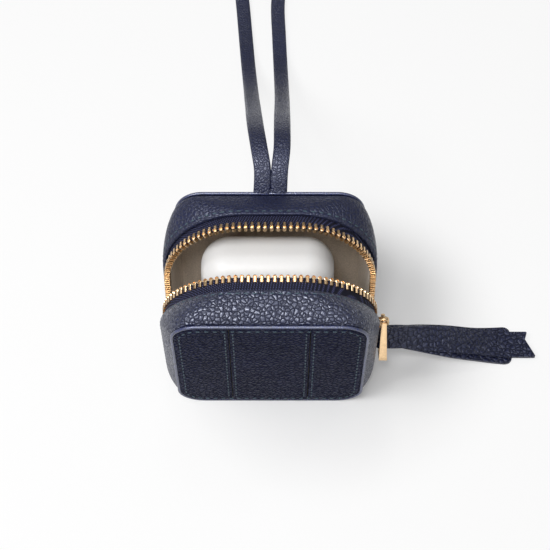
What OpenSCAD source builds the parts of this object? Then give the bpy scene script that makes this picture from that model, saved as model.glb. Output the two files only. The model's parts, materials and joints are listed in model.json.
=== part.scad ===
/* [Leather panels] */
// Width of a leather panel, to the middle of its piping
panel_w = 62; // [56:0.5:68]
// Height of the panel's top above the fold, to the middle of its piping
panel_top = 64.5; // [61:0.5:66]
// Height of the panel's bottom above the fold, to the middle of its piping
panel_bottom = 1.1; // [0.9:0.1:2]
// Corner radius of the panel
panel_r = 8.5; // [6:0.5:12]
// Thickness of the leather
leather_t = 1.2; // [0.8:0.1:1.4]
// Thickness of the stiffening board
board_t = 1.0; // [0.6:0.1:1.4]
// Radius of the piping
piping_r = 1.05; // [0.8:0.05:1.3]
// Half width of the front panel's middle piece, between its two upright seams
seam_half_w = 13; // [9:0.5:18]
// Width of a seam between two pieces of leather
seam_gap = 0.15; // [0.05:0.05:0.3]
// Depth of one half, from the zip's middle plane to the middle of the piping
half_depth = 17.8; // [16:0.2:20]

/* [Zip outline] */
// Width of the case at the zip
zip_w = 72.5; // [70:0.5:78]
// Height of the case at the zip, above the fold
zip_top = 68; // [66:0.5:72]
// Radius of the top corners at the zip
zip_top_r = 28; // [24:0.5:30]
// Radius of the bottom corners at the zip
zip_bottom_r = 10; // [8:0.5:12]
// Distance of the leather's sewn edge from the zip's middle plane
leather_edge = 6.2; // [5.6:0.1:7]
// Height at which the folding strip ends
strip_top = 14; // [12:0.5:14.5]
// Angle between the two halves as the case stands open
open_angle = 14; // [13.5:0.5:17]

/* [Lining] */
// Thickness of the lining
lining_t = 0.7; // [0.5:0.1:1]
// Distance of the lining's rim from the zip's middle plane
lining_rim = 4.6; // [4.2:0.1:5.4]

/* [Zip] */
// Thickness of the tape
tape_t = 0.6; // [0.4:0.1:0.7]
// How far the tape is sewn in under the leather
tape_tuck = 1.4; // [1:0.1:2]
// Distance of the tooth tips from the zip's middle plane
tooth_tip = 0.6; // [0.5:0.05:0.7]
// Length of a tooth
tooth_l = 2.6; // [2.4:0.1:2.7]
// Radius of a tooth's round head
tooth_head_r = 0.7; // [0.5:0.05:0.8]
// Width of a tooth's shank
tooth_shank_w = 1; // [0.8:0.1:1.2]
// Thickness of a tooth
tooth_t = 2; // [1.8:0.1:2.2]
// Distance from tooth to tooth
tooth_pitch = 2.1; // [1.9:0.1:2.6]
// Height above the fold of the lowest tooth on the slider's side
tooth_start = 31.5; // [31:0.5:34]
// Height above the fold of the lowest tooth on the other side
tooth_end = 19; // [18.5:0.5:24]
// Length of the jaws that hold the tape
jaw_l = 1.1; // [0.8:0.1:1.3]

/* [Slider] */
// Height of the slider's middle above the fold
slider_h = 20; // [20:0.5:22]
// Length of the slider
slider_l = 9; // [8:0.5:9.5]
// Thickness of the slider's plates
plate_t = 0.8; // [0.6:0.1:1]
// Thickness of the slider's flanges
flange_t = 0.65; // [0.5:0.05:0.7]
// Clearance between the teeth and the slider
slider_gap = 0.3; // [0.2:0.05:0.35]
// Width of the crown's bridge
crown_w = 1.5; // [1.3:0.1:1.6]
// Length of the crown
crown_l = 5.6; // [5:0.2:6]
// Thickness of the crown's metal
crown_t = 0.9; // [0.7:0.1:1.2]
// Distance of the crown's eye from the slider's plate
crown_stand = 1.3; // [1.1:0.1:2]

/* [Pull] */
// Radius of the ring's round bars
ring_r = 0.7; // [0.6:0.05:0.8]
// Length of the ring
ring_l = 14; // [13.8:0.1:14.6]
// Distance between the middles of the ring's legs
ring_w = 5.8; // [5.6:0.1:6.4]
// How far the ring's rear leg stands behind the crown
ring_back = 3.6; // [3.5:0.1:4]
// Angle that the ring leans to the front
ring_roll = 30; // [27:1:31]
// Width of the ring's flat front leg
ring_leg_w = 2.8; // [2:0.1:3]
// Width of the flat front leg at its top
ring_leg_top_w = 1.8; // [1.6:0.1:2]
// Width of the leather pull at its fold
tab_w = 8; // [7.4:0.1:8.2]
// Width of the swallowtail end
tab_tail_w = 10.2; // [9.4:0.2:10.6]
// Width of the rounded end
tab_under_w = 15.2; // [13:0.2:15.6]
// Thickness of the pull's leather
tab_t = 1.2; // [0.9:0.1:1.3]
// Length of the swallowtail end, from the ring
tab_l = 55; // [48:1:60]
// How much shorter the rounded end is
tab_step = 8; // [5:0.5:12]

/* [Wrist strap] */
// Width of the strap
strap_w = 5.65; // [5:0.05:5.75]
// Thickness of the strap
strap_t = 1.8; // [1.4:0.1:2]

/* [Charging case] */
// Width of the charging case
bud_w = 44.3; // [40:0.1:50]
// Height of the charging case
bud_h = 53.5; // [48:0.1:56]
// Depth of the charging case
bud_d = 21.3; // [20:0.1:22.5]
// Radius of its edges
bud_r = 9.5; // [7:0.5:10]
// Height of the lid's seam above the charging case's bottom
bud_seam_h = 37; // [32:0.5:40]
// How far the charging case stands behind the zip's middle plane
bud_back = 1; // [0:0.1:2]
// How far the charging case stands to the slider's side
bud_shift = -0.8; // [-2:0.1:2]
// Width of the lid's seam
bud_seam = 0.2; // [0.1:0.05:0.3]
// Length of the lid's hinge
bud_hinge_l = 14; // [10:1:20]
// Radius of the lid's hinge
bud_hinge_r = 1; // [0.8:0.1:1.2]

/* [Hidden] */
$fn = 48;
// Small clearance between pieces that lie against each other
fit = 0.1;
tilt = open_angle / 2;
half_panel = panel_w / 2;
half_zip = zip_w / 2;
// Height of the fold above the floor, so that the piping rests on it
fold_z = half_depth * sin(tilt) + piping_r - panel_bottom * cos(tilt);
// Depths of one half's layers, from the piping inwards
panel_in = half_depth - piping_r + 0.4;
panel_out = panel_in + leather_t;
board_out = panel_in - fit;
board_in = board_out - board_t;
lining_out = board_in - fit;
gusset_out = half_depth - piping_r - fit;
// Layers inwards from the leather's outer face
tape_off = leather_t + fit;
lining_off = tape_off + tape_t + fit;
tape_mid = tape_off + tape_t / 2;
navy = [0.13, 0.15, 0.24];
taupe = [0.55, 0.5, 0.44];
gold = [0.85, 0.68, 0.4];
cloth = [0.09, 0.1, 0.17];
ivory = [0.94, 0.94, 0.92];

// Outline of the case at a depth, from the panel (0) to the zip (1), moved inwards by d
// Each outline is [half width, top, bottom, top radius, bottom radius]
function swell(t) = pow(sin(90 * t), 0.75);
function mix(a, b, t) = a + (b - a) * t;
function outline(t, d) = [
    mix(half_panel + piping_r / 2, half_zip, swell(t)) - d,
    mix(panel_top + piping_r / 2, zip_top, swell(t)) - d,
    mix(panel_bottom - piping_r / 2, 0, swell(t)) + d,
    max(mix(panel_r, zip_top_r, t) - d, 2),
    max(mix(panel_r, zip_bottom_r, t) - d, 2)
];

// Points round an outline, [x, height], corner by corner
corner_steps = 12;
function corner_points(cx, cz, r, from) =
    [for (i = [0 : corner_steps]) let (a = from + 90 * i / corner_steps) [cx + r * cos(a), cz + r * sin(a)]];
function outline_points(o) = concat(
    corner_points(o[0] - o[3], o[1] - o[3], o[3], 0),
    corner_points(-o[0] + o[3], o[1] - o[3], o[3], 90),
    corner_points(-o[0] + o[4], o[2] + o[4], o[4], 180),
    corner_points(o[0] - o[4], o[2] + o[4], o[4], 270));
function ring_at(o, s) = [for (p = outline_points(o)) [p[0], s, p[1]]];

// A solid through closed rings of equal count, with the ends joined to each other or capped by faces
function flat_cap(n) = [[for (j = [0 : n - 1]) j]];
function strip_cap(n) = [for (j = [0 : n / 2 - 2]) [j, j + 1, n - 2 - j, n - 1 - j]];
module loft(rings, closed, cap) {
    n = len(rings[0]);
    m = len(rings);
    points = [for (ring = rings) each ring];
    bands = [for (i = [0 : (closed ? m - 1 : m - 2)], j = [0 : n - 1])
        let (a = i * n + j, b = i * n + (j + 1) % n, k = (i + 1) % m, c = k * n + j, d = k * n + (j + 1) % n)
        each [[a, b, c], [b, d, c]]];
    faces = is_undef(cap) ? flat_cap(n) : cap;
    ends = [for (f = faces) each [[for (j = [len(f) - 1 : -1 : 0]) f[j]], [for (j = f) (m - 1) * n + j]]];
    polyhedron(points, closed ? bands : concat(bands, ends), convexity = 8);
}

// Two halves, each drawn as x, depth from the zip's middle plane, height above the fold
module in_rear() { translate([0, 0, fold_z]) rotate([-tilt, 0, 0]) children(); }
module in_front() { mirror([0, 1, 0]) in_rear() children(); }
function rear_point(x, s, h) = [x, s * cos(tilt) + h * sin(tilt), fold_z + h * cos(tilt) - s * sin(tilt)];
function front_point(x, s, h) = [x, -s * cos(tilt) - h * sin(tilt), fold_z + h * cos(tilt) - s * sin(tilt)];

// A flat outline made thick between two depths
module slab(s0, s1) { translate([0, s1, 0]) rotate([90, 0, 0]) linear_extrude(s1 - s0) children(); }
module outline_2d(o) {
    translate([-o[0], o[2] + o[4]]) square([2 * o[0], o[1] - o[3] - o[2] - o[4]]);
    translate([-o[0] + o[3], o[2] + o[4]]) square([2 * (o[0] - o[3]), o[1] - o[2] - o[4]]);
    translate([-o[0] + o[4], o[2]]) square([2 * (o[0] - o[4]), o[1] - o[2] - o[3]]);
    for (side = [-1, 1]) {
        translate([side * (o[0] - o[3]), o[1] - o[3]]) circle(o[3]);
        translate([side * (o[0] - o[4]), o[2] + o[4]]) circle(o[4]);
    }
}
function panel_outline(d) =
    [half_panel - d, panel_top - d, panel_bottom + d, max(panel_r - d, 2), max(panel_r - d, 2)];

// Leather panels, boards and piping of one half
panel_inset = piping_r + fit;
module panel_2d() { outline_2d(panel_outline(panel_inset)); }
module middle_2d(d) { translate([-seam_half_w - d, -1]) square([2 * (seam_half_w + d), 2 * panel_top]); }
module board() { slab(board_in, board_out) outline_2d(panel_outline(panel_inset + fit)); }
module piping() {
    o = panel_outline(0);
    rod_x = o[0] - o[3];
    translate([0, half_depth, 0]) {
        for (h = [o[1], o[2]]) translate([-rod_x, 0, h]) rotate([0, 90, 0]) cylinder(r = piping_r, h = 2 * rod_x);
        for (side = [-1, 1]) {
            translate([side * o[0], 0, o[2] + o[3]]) cylinder(r = piping_r, h = o[1] - o[2] - 2 * o[3]);
            for (end = [[o[1] - o[3], 0], [o[2] + o[3], 180]])
                translate([side * rod_x, 0, end[0]]) rotate([90, 0, 0]) mirror([side < 0 ? 1 : 0, 0, 0])
                    mirror([0, end[1] > 0 ? 1 : 0, 0]) rotate_extrude(angle = 90) translate([o[3], 0]) circle(piping_r);
        }
    }
}

// Shaped leather wall of one half
gusset_levels = 8;
function level_t(i) = i / gusset_levels;
function level_s(i) = mix(gusset_out, leather_edge, level_t(i));
module gusset() {
    loft(concat(
        [for (i = [0 : gusset_levels]) ring_at(outline(level_t(i), 0), level_s(i))],
        [for (i = [gusset_levels : -1 : 0]) ring_at(outline(level_t(i), leather_t), level_s(i))]), true);
}

// Cloth tray of one half
lining_levels = 6;
// The tray is as wide as the zip wherever the tape lies behind it
tape_out = leather_edge + tape_tuck;
function lining_s(i, floor_s) =
    i < lining_levels ? mix(floor_s, tape_out + fit, i / (lining_levels - 1)) : lining_rim;
function lining_ring(d, s) = ring_at(outline(min(1, (gusset_out - s) / (gusset_out - tape_out - fit)), d), s);
module lining() {
    loft(concat(
        [for (i = [0 : lining_levels]) lining_ring(lining_off, lining_s(i, lining_out))],
        [for (i = [lining_levels : -1 : 0])
            lining_ring(lining_off + lining_t, lining_s(i, lining_out - lining_t))]), false);
}

// Zip tape of one half
tape_in = tooth_tip + tooth_l - jaw_l;
module zip_tape() {
    slab(tape_in + fit / 2, tape_out) difference() {
        outline_2d(outline(1, tape_off));
        outline_2d(outline(1, tape_off + tape_t));
        translate([-zip_w, -zip_top]) square([zip_w, zip_top + tooth_end - tooth_pitch / 2]);
        translate([0, -zip_top]) square([zip_w, zip_top + tooth_start - tooth_pitch / 2]);
    }
}

// Place on the zip's outline at a length from its left end: [x, height, turn of the outward side from up]
left_l = zip_top - zip_top_r - tooth_end;
right_l = zip_top - zip_top_r - tooth_start;
arc_l = zip_top_r * PI / 2;
top_l = zip_w - 2 * zip_top_r;
row_l = left_l + right_l + 2 * arc_l + top_l;
function zip_at(u) =
    u < left_l ? [-half_zip, tooth_end + u, -90] :
    u < left_l + arc_l ? corner_at(-1, 90 * (1 - (u - left_l) / arc_l)) :
    u < left_l + arc_l + top_l ? [-top_l / 2 + u - left_l - arc_l, zip_top, 0] :
    u < left_l + 2 * arc_l + top_l ? corner_at(1, 90 * (u - left_l - arc_l - top_l) / arc_l) :
    [half_zip, tooth_start + row_l - u, 90];
function corner_at(side, a) =
    [side * (top_l / 2 + zip_top_r * sin(a)), zip_top - zip_top_r + zip_top_r * cos(a), side * a];

// One tooth: round head, shank and two jaws that hold the tape's edge
module tooth() {
    translate([0, 0, -tape_mid - tooth_t / 2]) difference() {
        linear_extrude(tooth_t) {
            translate([0, tooth_tip + tooth_head_r]) circle(tooth_head_r, $fn = 16);
            translate([-tooth_shank_w / 2, tooth_tip + tooth_head_r])
                square([tooth_shank_w, tooth_l - tooth_head_r]);
        }
        translate([-tooth_shank_w, tape_in, (tooth_t - tape_t) / 2 - fit])
            cube([2 * tooth_shank_w, tooth_l, tape_t + 2 * fit]);
    }
}
module zip_teeth(shift) {
    count = floor(row_l / tooth_pitch);
    start = (row_l - (count - 1) * tooth_pitch) / 2 + (shift - 0.25) * tooth_pitch;
    for (i = [0 : count - 1]) {
        p = zip_at(start + i * tooth_pitch);
        translate([p[0], 0, p[1]]) rotate([0, p[2], 0]) tooth();
    }
}

// Rear half
module rear_panel() { color(navy) in_rear() slab(panel_in, panel_out) panel_2d(); }
module rear_board() { color(taupe) in_rear() board(); }
module rear_piping() {
    gap_w = 2 * strap_w + 1;
    color(navy) in_rear() difference() {
        piping();
        translate([-gap_w / 2, half_depth - 2 * piping_r, panel_top - 2 * piping_r])
            cube([gap_w, 4 * piping_r, 4 * piping_r]);
    }
}
module rear_gusset() { color(navy) in_rear() gusset(); }
module rear_lining() { color(taupe) in_rear() lining(); }
module rear_zip_tape() { color(cloth) in_rear() zip_tape(); }
module rear_zip_teeth() { color(gold) in_rear() zip_teeth(0.5); }

// Front half
module front_panel_left() {
    color(navy) in_front() slab(panel_in, panel_out) difference() {
        panel_2d();
        middle_2d(seam_gap);
        translate([0, -1]) square([panel_w, 2 * panel_top]);
    }
}
module front_panel_right() { mirror([1, 0, 0]) front_panel_left(); }
module front_panel_centre() {
    color(navy) in_front() slab(panel_in, panel_out) intersection() {
        panel_2d();
        middle_2d(0);
    }
}
module front_board() { color(taupe) in_front() board(); }
module front_piping() { color(navy) in_front() piping(); }
module front_gusset() { color(navy) in_front() gusset(); }
module front_lining() { color(taupe) in_front() lining(); }
module front_zip_tape() { color(cloth) in_front() zip_tape(); }
module front_zip_teeth() { color(gold) in_front() zip_teeth(0); }

// Leather strip below the zip ends, folded on the line where the halves meet
strip_edge = leather_edge - fit;
fold_half = 0.4;
function strip_path(d) = concat(
    [[-half_zip + d, strip_top]],
    corner_points(-half_zip + zip_bottom_r, zip_bottom_r, zip_bottom_r - d, 180),
    corner_points(half_zip - zip_bottom_r, zip_bottom_r, zip_bottom_r - d, 270),
    [[half_zip - d, strip_top]]);
function strip_ring(a, b) = [
    front_point(a[0], strip_edge, a[1]), front_point(a[0], fold_half, a[1]),
    rear_point(a[0], fold_half, a[1]), rear_point(a[0], strip_edge, a[1]),
    rear_point(b[0], strip_edge, b[1]), rear_point(b[0], fold_half, b[1]),
    front_point(b[0], fold_half, b[1]), front_point(b[0], strip_edge, b[1])];
module base_gusset() {
    outer = strip_path(0);
    inner = strip_path(leather_t);
    color(navy) loft([for (i = [len(outer) - 1 : -1 : 0]) strip_ring(outer[i], inner[i])], false, strip_cap(8));
}

// Zip ends, in the plane halfway between the halves
tail_half_w = 2.8;
tail_tuck = 5;
stop_l = 0.9;
stop_z = strip_top + 0.4;
stop_t = tooth_t + 0.4;
module at_zip_side(side) {
    translate([side * (half_zip - tape_mid), 0, fold_z]) mirror([side < 0 ? 1 : 0, 0, 0]) children();
}
module zip_tails() {
    color(cloth) for (side = [-1, 1]) at_zip_side(side)
        translate([-tape_t / 2, -tail_half_w, strip_top - tail_tuck])
            cube([tape_t, 2 * tail_half_w, stop_z + stop_l - strip_top + tail_tuck]);
}
module zip_stops() {
    color(gold) for (side = [-1, 1]) at_zip_side(side) difference() {
        translate([-stop_t / 2, -tail_half_w - 0.4, stop_z]) cube([stop_t, 2 * tail_half_w + 0.8, stop_l]);
        translate([-tape_t / 2 - fit / 2, -tail_half_w - fit / 2, stop_z - 1])
            cube([tape_t + fit, 2 * tail_half_w + fit, stop_l + 2]);
    }
}

// Slider: two plates joined by a wedge, with flanges that leave a slot for the tape
channel = tooth_t / 2 + slider_gap;
channel_half_w = tooth_tip + tooth_l + slider_gap;
slider_half_w = channel_half_w + flange_t;
mouth_r = 1.5;
wedge_t = 2 * tooth_tip - 0.5;
wedge_l = 3;
module plate_2d() {
    translate([-slider_l / 2 + mouth_r, -slider_half_w]) square([slider_l - 2 * mouth_r, 2 * slider_half_w]);
    translate([-slider_l / 2, -slider_half_w + mouth_r]) square([slider_l, 2 * (slider_half_w - mouth_r)]);
    for (end = [-1, 1], side = [-1, 1])
        translate([end * (slider_l / 2 - mouth_r), side * (slider_half_w - mouth_r)]) circle(mouth_r);
}
module slider_body() {
    color(gold) at_zip_side(1) translate([0, 0, slider_h]) {
        for (side = [0, 1]) mirror([side, 0, 0]) difference() {
            translate([tape_t / 2 + 0.35, 0, 0]) rotate([0, -90, 0]) mirror([0, 0, 1])
                linear_extrude(channel - tape_t / 2 - 0.35 + plate_t) plate_2d();
            translate([0, -channel_half_w, -slider_l]) cube([channel, 2 * channel_half_w, 2 * slider_l]);
        }
        translate([-channel - plate_t / 2, -wedge_t / 2, slider_l / 2 - wedge_l])
            cube([2 * channel + plate_t, wedge_t, wedge_l]);
    }
}

// Crown: a rounded bridge on the slider's outer plate, with a long eye for the ring
eye_r = ring_r + 0.3;
eye_slack = 0.5;
crown_x = channel + plate_t;
eye_x = crown_x + eye_r + crown_stand;
crown_z = slider_h + 2;
module eye_2d(r) {
    hull() for (side = [-1, 1]) translate([eye_x - crown_x, 1 + side * eye_slack]) circle(r);
}
module crown_2d() {
    difference() {
        hull() {
            translate([0, -crown_l / 2]) square([0.5, crown_l]);
            eye_2d(eye_r + crown_t);
        }
        eye_2d(eye_r);
    }
}
module slider_crown() {
    color(gold) at_zip_side(1) translate([crown_x, crown_w / 2, crown_z - 1]) rotate([90, 0, 0])
        linear_extrude(crown_w) crown_2d();
}

// Pull ring: leans to the front in the crown, with a flat front leg and a round rear leg
leg_t = 1;
module pull_ring() {
    color(gold) at_zip_side(1) translate([eye_x, 0, crown_z]) rotate([-ring_roll, 0, 0])
            translate([0, ring_back - ring_w / 2, 0]) {
        translate([0, -ring_w / 2, 0]) rotate([-90, 0, 0]) cylinder(r = ring_r, h = ring_w);
        translate([0, ring_w / 2, -ring_l + ring_r]) cylinder(r = ring_r, h = ring_l);
        translate([0, -ring_w / 2 + leg_t / 2, 0]) rotate([90, 0, 0]) linear_extrude(leg_t)
            polygon([[-ring_leg_w / 2, -ring_l], [ring_leg_w / 2, -ring_l],
                [ring_leg_top_w / 2, ring_r], [-ring_leg_top_w / 2, ring_r]]);
        translate([-ring_leg_w / 2, -ring_w / 2 - leg_t / 2, -ring_l]) cube([ring_leg_w, ring_w + leg_t, leg_t]);
    }
}

// Pull: a strip of leather folded round the ring's rear leg, which turns flat towards its ends
fold_r = ring_r + 0.3 + tab_t / 2;
tab_turns = 30;
fold_turns = 8;
bend_l = 3;
end_drift = 3.9;
fold_skew = 1;
end_apart = 1.25 * tab_t;
leg_back = [0, cos(ring_roll), -sin(ring_roll)];
leg_down = [0, -sin(ring_roll), -cos(ring_roll)];
tab_root = [half_zip - tape_mid + eye_x, 0, fold_z + crown_z] + ring_back * leg_back
    + (ring_l - leg_t - 0.35 - fold_skew - tab_w / 2) * leg_down;
tab_fall = tab_root[2] - (end_apart + tab_t) / 2 - 0.05;
function ease(t) = t * t * (3 - 2 * t);
// Share of the way from the ring to the rounded end, and how far the strip has turned there
function tab_share(x) = max(0, min(1, (x - bend_l) / (tab_l - tab_step - bend_l)));
function tab_turn(x) = mix(ring_roll, 90, ease(min(1, tab_share(x) / 0.75)));
function tab_across(x) = [0, sin(tab_turn(x)), cos(tab_turn(x))];
function tab_normal(x) = [0, -cos(tab_turn(x)), sin(tab_turn(x))];
// Middle of the strip between its layers at a distance from the ring
function tab_line(x) = tab_root + [x, end_drift * ease(tab_share(x)), -tab_fall * ease(tab_share(x))];
function tab_apart(x) = mix(2 * fold_r, end_apart, ease(min(1, tab_share(x) / 0.15)));
// Middle and width of the upper (1) or lower (0) layer
function tab_mid(x, up) = tab_line(x) + tab_normal(x) * tab_apart(x) * (up - 0.5)
    + tab_across(x) * (1 - up) * mix(-fold_skew, 0.5, tab_share(x));
function tab_width(x, up) =
    mix(tab_w, tab_tail_w, tab_share(x)) + (1 - up) * (tab_under_w - tab_tail_w) * tab_share(x);
function tab_section(c, across, normal, w) = [for (k = [[-1, -1], [1, -1], [1, 1], [-1, 1]])
    c + across * (k[0] * w / 2) + normal * (k[1] * tab_t / 2)];
function layer_ring(x, up) =
    tab_section(tab_mid(x, up), tab_across(x), tab_normal(x) * (2 * up - 1), tab_width(x, up));
function fold_out(a) = cos(a) * tab_normal(0) - [sin(a), 0, 0];
function fold_ring(a) = tab_section(
    tab_root + fold_r * fold_out(a) - fold_skew * a / 180 * tab_across(0), tab_across(0), fold_out(a), tab_w);
module pull_tab() {
    under_l = tab_l - tab_step;
    rings = concat(
        [for (i = [tab_turns : -1 : 0]) layer_ring(tab_l * i / tab_turns, 1)],
        [for (i = [1 : fold_turns - 1]) fold_ring(180 * i / fold_turns)],
        [for (i = [0 : tab_turns]) layer_ring(under_l * i / tab_turns, 0)]);
    color(navy) difference() {
        loft(rings, false);
        tail = tab_mid(tab_l, 1);
        translate([tail[0], tail[1], tail[2] - tab_t]) linear_extrude(2 * tab_t)
            polygon([[1, -tab_tail_w / 2 - 1], [1, tab_tail_w / 2 + 1], [-2.3, tab_tail_w / 2 + 1],
                [-2.3, tab_tail_w / 2], [-3.1, 0.19 * tab_tail_w], [0, -tab_tail_w / 2], [0, -tab_tail_w / 2 - 1]]);
    }
}

// Wrist strap: chosen points, [x, y, z, share of a quarter turn onto its edge]
strap_end = rear_point(0, half_depth + 0.3, panel_top + 0.4);
strap_route = [
    [strap_w / 2 + 0.3, strap_end[1], strap_end[2], 0], [3.4, 31, 70, 0], [4, 38, 72.5, 0],
    [4.1, 48, 70, 0], [4.15, 61, 60, 0], [4.25, 77, 43.5, 0], [4.35, 94, 27, 0], [4.25, 112, 12, 0],
    [3.85, 130, 3.5, 0], [3.3, 147, 1.4, 0], [2.85, 163, 1.4, 0], [4, 174, 2, 0.5],
    [7, 184, 3, 1], [4, 194, 3, 1], [-4, 198, 3, 1], [-12, 194, 3, 1], [-15, 184, 3, 1],
    [-12.7, 174, 2, 0.5], [-11.45, 163, 1.4, 0], [-10.2, 147, 1.4, 0], [-8.95, 130, 3.5, 0],
    [-7.75, 112, 12, 0], [-6.9, 94, 27, 0], [-6.15, 77, 43.5, 0], [-5.55, 61, 60, 0],
    [-4.75, 48, 70, 0], [-3.55, 38, 72.5, 0], [-2.6, 31, 70, 0],
    [-strap_w / 2, strap_end[1], strap_end[2], 0]
];
strap_steps = 2;
function route_at(i) = strap_route[max(0, min(len(strap_route) - 1, i))];
function curve(i, t) = let (a = route_at(i - 1), b = route_at(i), c = route_at(i + 1), d = route_at(i + 2))
    0.5 * (2 * b + (c - a) * t + (2 * a - 5 * b + 4 * c - d) * t * t + (3 * b - a - 3 * c + d) * t * t * t);
strap_line = [for (i = [0 : len(strap_route) - 2], k = [0 : strap_steps - 1]) curve(i, k / strap_steps),
    strap_route[len(strap_route) - 1]];
function xyz(p) = [p[0], p[1], p[2]];
function unit(v) = v / norm(v);
function strap_ring(i) = let (
        last = len(strap_line) - 1,
        p = xyz(strap_line[i]),
        along = unit(xyz(strap_line[min(last, i + 1)]) - xyz(strap_line[max(0, i - 1)])),
        flat_side = i < last / 2 ? [1, 0, 0] : [-1, 0, 0],
        turn = 90 * ease(max(0, min(1, strap_line[i][3]))),
        wanted = cos(turn) * flat_side + sin(turn) * [0, 0, 1],
        across = unit(wanted - along * (wanted * along)),
        normal = cross(along, across),
        w = strap_w / 2,
        t = strap_t / 2,
        c = strap_t / 4)
    [for (k = [[w, -t + c], [w, t - c], [w - c, t], [c - w, t], [-w, t - c], [-w, c - t], [c - w, -t], [w - c, -t]])
        p + across * k[0] + normal * k[1]];
module wrist_strap() { color(navy) loft([for (i = [0 : len(strap_line) - 1]) strap_ring(i)], false); }

// Charging case, which stands in the rear half
bud_seat = 0.3;
bud_side = max(0, lining_rim - bud_back - bud_d / 2 + bud_r);
bud_lift = lining_off + lining_t + bud_seat - bud_r + sqrt(pow(bud_r, 2) - pow(bud_side, 2));
seam_z = bud_lift + bud_seam_h;
hinge_s = bud_back + bud_d / 2 - bud_hinge_r;
module bud_body() {
    hull() for (x = [-1, 1], s = [-1, 1], z = [bud_lift + bud_r, bud_lift + bud_h - bud_r])
        translate([bud_shift + x * (bud_w / 2 - bud_r), bud_back + s * (bud_d / 2 - bud_r), z]) sphere(bud_r, $fn = 40);
}
module hinge_room() {
    room = bud_hinge_r + fit;
    translate([bud_shift - bud_hinge_l / 2 - fit, hinge_s, seam_z]) rotate([0, 90, 0])
        cylinder(r = room, h = bud_hinge_l + 2 * fit);
    translate([bud_shift - bud_hinge_l / 2 - fit, hinge_s, seam_z - room])
        cube([bud_hinge_l + 2 * fit, bud_d, 2 * room]);
}
module charging_case_base() {
    color(ivory) in_rear() difference() {
        bud_body();
        translate([-bud_w, -bud_d, seam_z - bud_seam / 2]) cube([2 * bud_w, 2 * bud_d, bud_h]);
        hinge_room();
    }
}
module charging_case_lid() {
    color(ivory) in_rear() difference() {
        bud_body();
        translate([-bud_w, -bud_d, seam_z + bud_seam / 2 - bud_h]) cube([2 * bud_w, 2 * bud_d, bud_h]);
        hinge_room();
    }
}
module charging_case_hinge() {
    color("silver") in_rear() translate([bud_shift - bud_hinge_l / 2, hinge_s, seam_z]) rotate([0, 90, 0])
        cylinder(r = bud_hinge_r, h = bud_hinge_l);
}

rear_panel();
rear_board();
rear_piping();
rear_gusset();
rear_lining();
rear_zip_tape();
rear_zip_teeth();
wrist_strap();
base_gusset();
front_panel_left();
front_panel_centre();
front_panel_right();
front_board();
front_piping();
front_gusset();
front_lining();
front_zip_tape();
front_zip_teeth();
zip_tails();
zip_stops();
slider_body();
slider_crown();
pull_ring();
pull_tab();
charging_case_base();
charging_case_lid();
charging_case_hinge();
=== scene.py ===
import json
from math import atan2, copysign, cos, pi, radians, sin, sqrt, tan

import bmesh
import bpy
from bpy.types import Operator, Panel, PropertyGroup
from mathutils import Matrix, Vector


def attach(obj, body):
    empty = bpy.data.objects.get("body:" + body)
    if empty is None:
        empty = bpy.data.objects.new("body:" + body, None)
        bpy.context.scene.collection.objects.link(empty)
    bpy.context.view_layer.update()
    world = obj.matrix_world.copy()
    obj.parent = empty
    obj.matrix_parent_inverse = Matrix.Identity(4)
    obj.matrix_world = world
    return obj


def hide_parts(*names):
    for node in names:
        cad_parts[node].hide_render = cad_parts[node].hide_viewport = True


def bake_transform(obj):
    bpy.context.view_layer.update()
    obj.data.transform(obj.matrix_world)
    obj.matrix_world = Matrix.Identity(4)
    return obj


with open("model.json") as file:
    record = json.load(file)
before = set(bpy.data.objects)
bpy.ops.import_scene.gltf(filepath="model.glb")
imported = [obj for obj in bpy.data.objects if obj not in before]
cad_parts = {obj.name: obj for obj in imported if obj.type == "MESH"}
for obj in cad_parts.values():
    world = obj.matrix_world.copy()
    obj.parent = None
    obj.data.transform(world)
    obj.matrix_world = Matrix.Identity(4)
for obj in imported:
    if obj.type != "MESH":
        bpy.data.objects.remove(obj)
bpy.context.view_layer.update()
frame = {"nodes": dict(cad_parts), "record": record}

bl_info = {
    "name": "Leather Earbuds Pouch",
    "version": (1, 0, 0),
    "blender": (4, 5, 0),
    "location": "View3D > Sidebar > Pouch",
    "description": "Dresses a zipped leather pouch with a charging case for earbuds inside",
    "category": "Object",
}

MM = 0.001
HINGE = next(j for j in frame["record"]["behaviour"]["joints"] if j["name"] == "front_hinge")
TILT = radians(-HINGE["range_deg"][0]) / 2
FOLD_Z = HINGE["pos_m"][2]
REAR = 1
FRONT = -1
HALVES = ((REAR, "rear", "rear_half"), (FRONT, "front", "front_half"))
# How far the stitching lies from a wall's edge, the tape runs in under it, and a lining's rim from the zip
STITCH_IN = 1.25 * MM
TAPE_UNDER = 1.4 * MM
LINING_RIM = 4.6 * MM


# Sizes and colours

def length(label, value, text):
    return bpy.props.FloatProperty(
        name=label, description=text, default=value * MM, unit="LENGTH", precision=5)


def colour(label, value, text):
    return bpy.props.FloatVectorProperty(
        name=label, description=text, default=value, subtype="COLOR", size=3, min=0, max=1)


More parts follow.
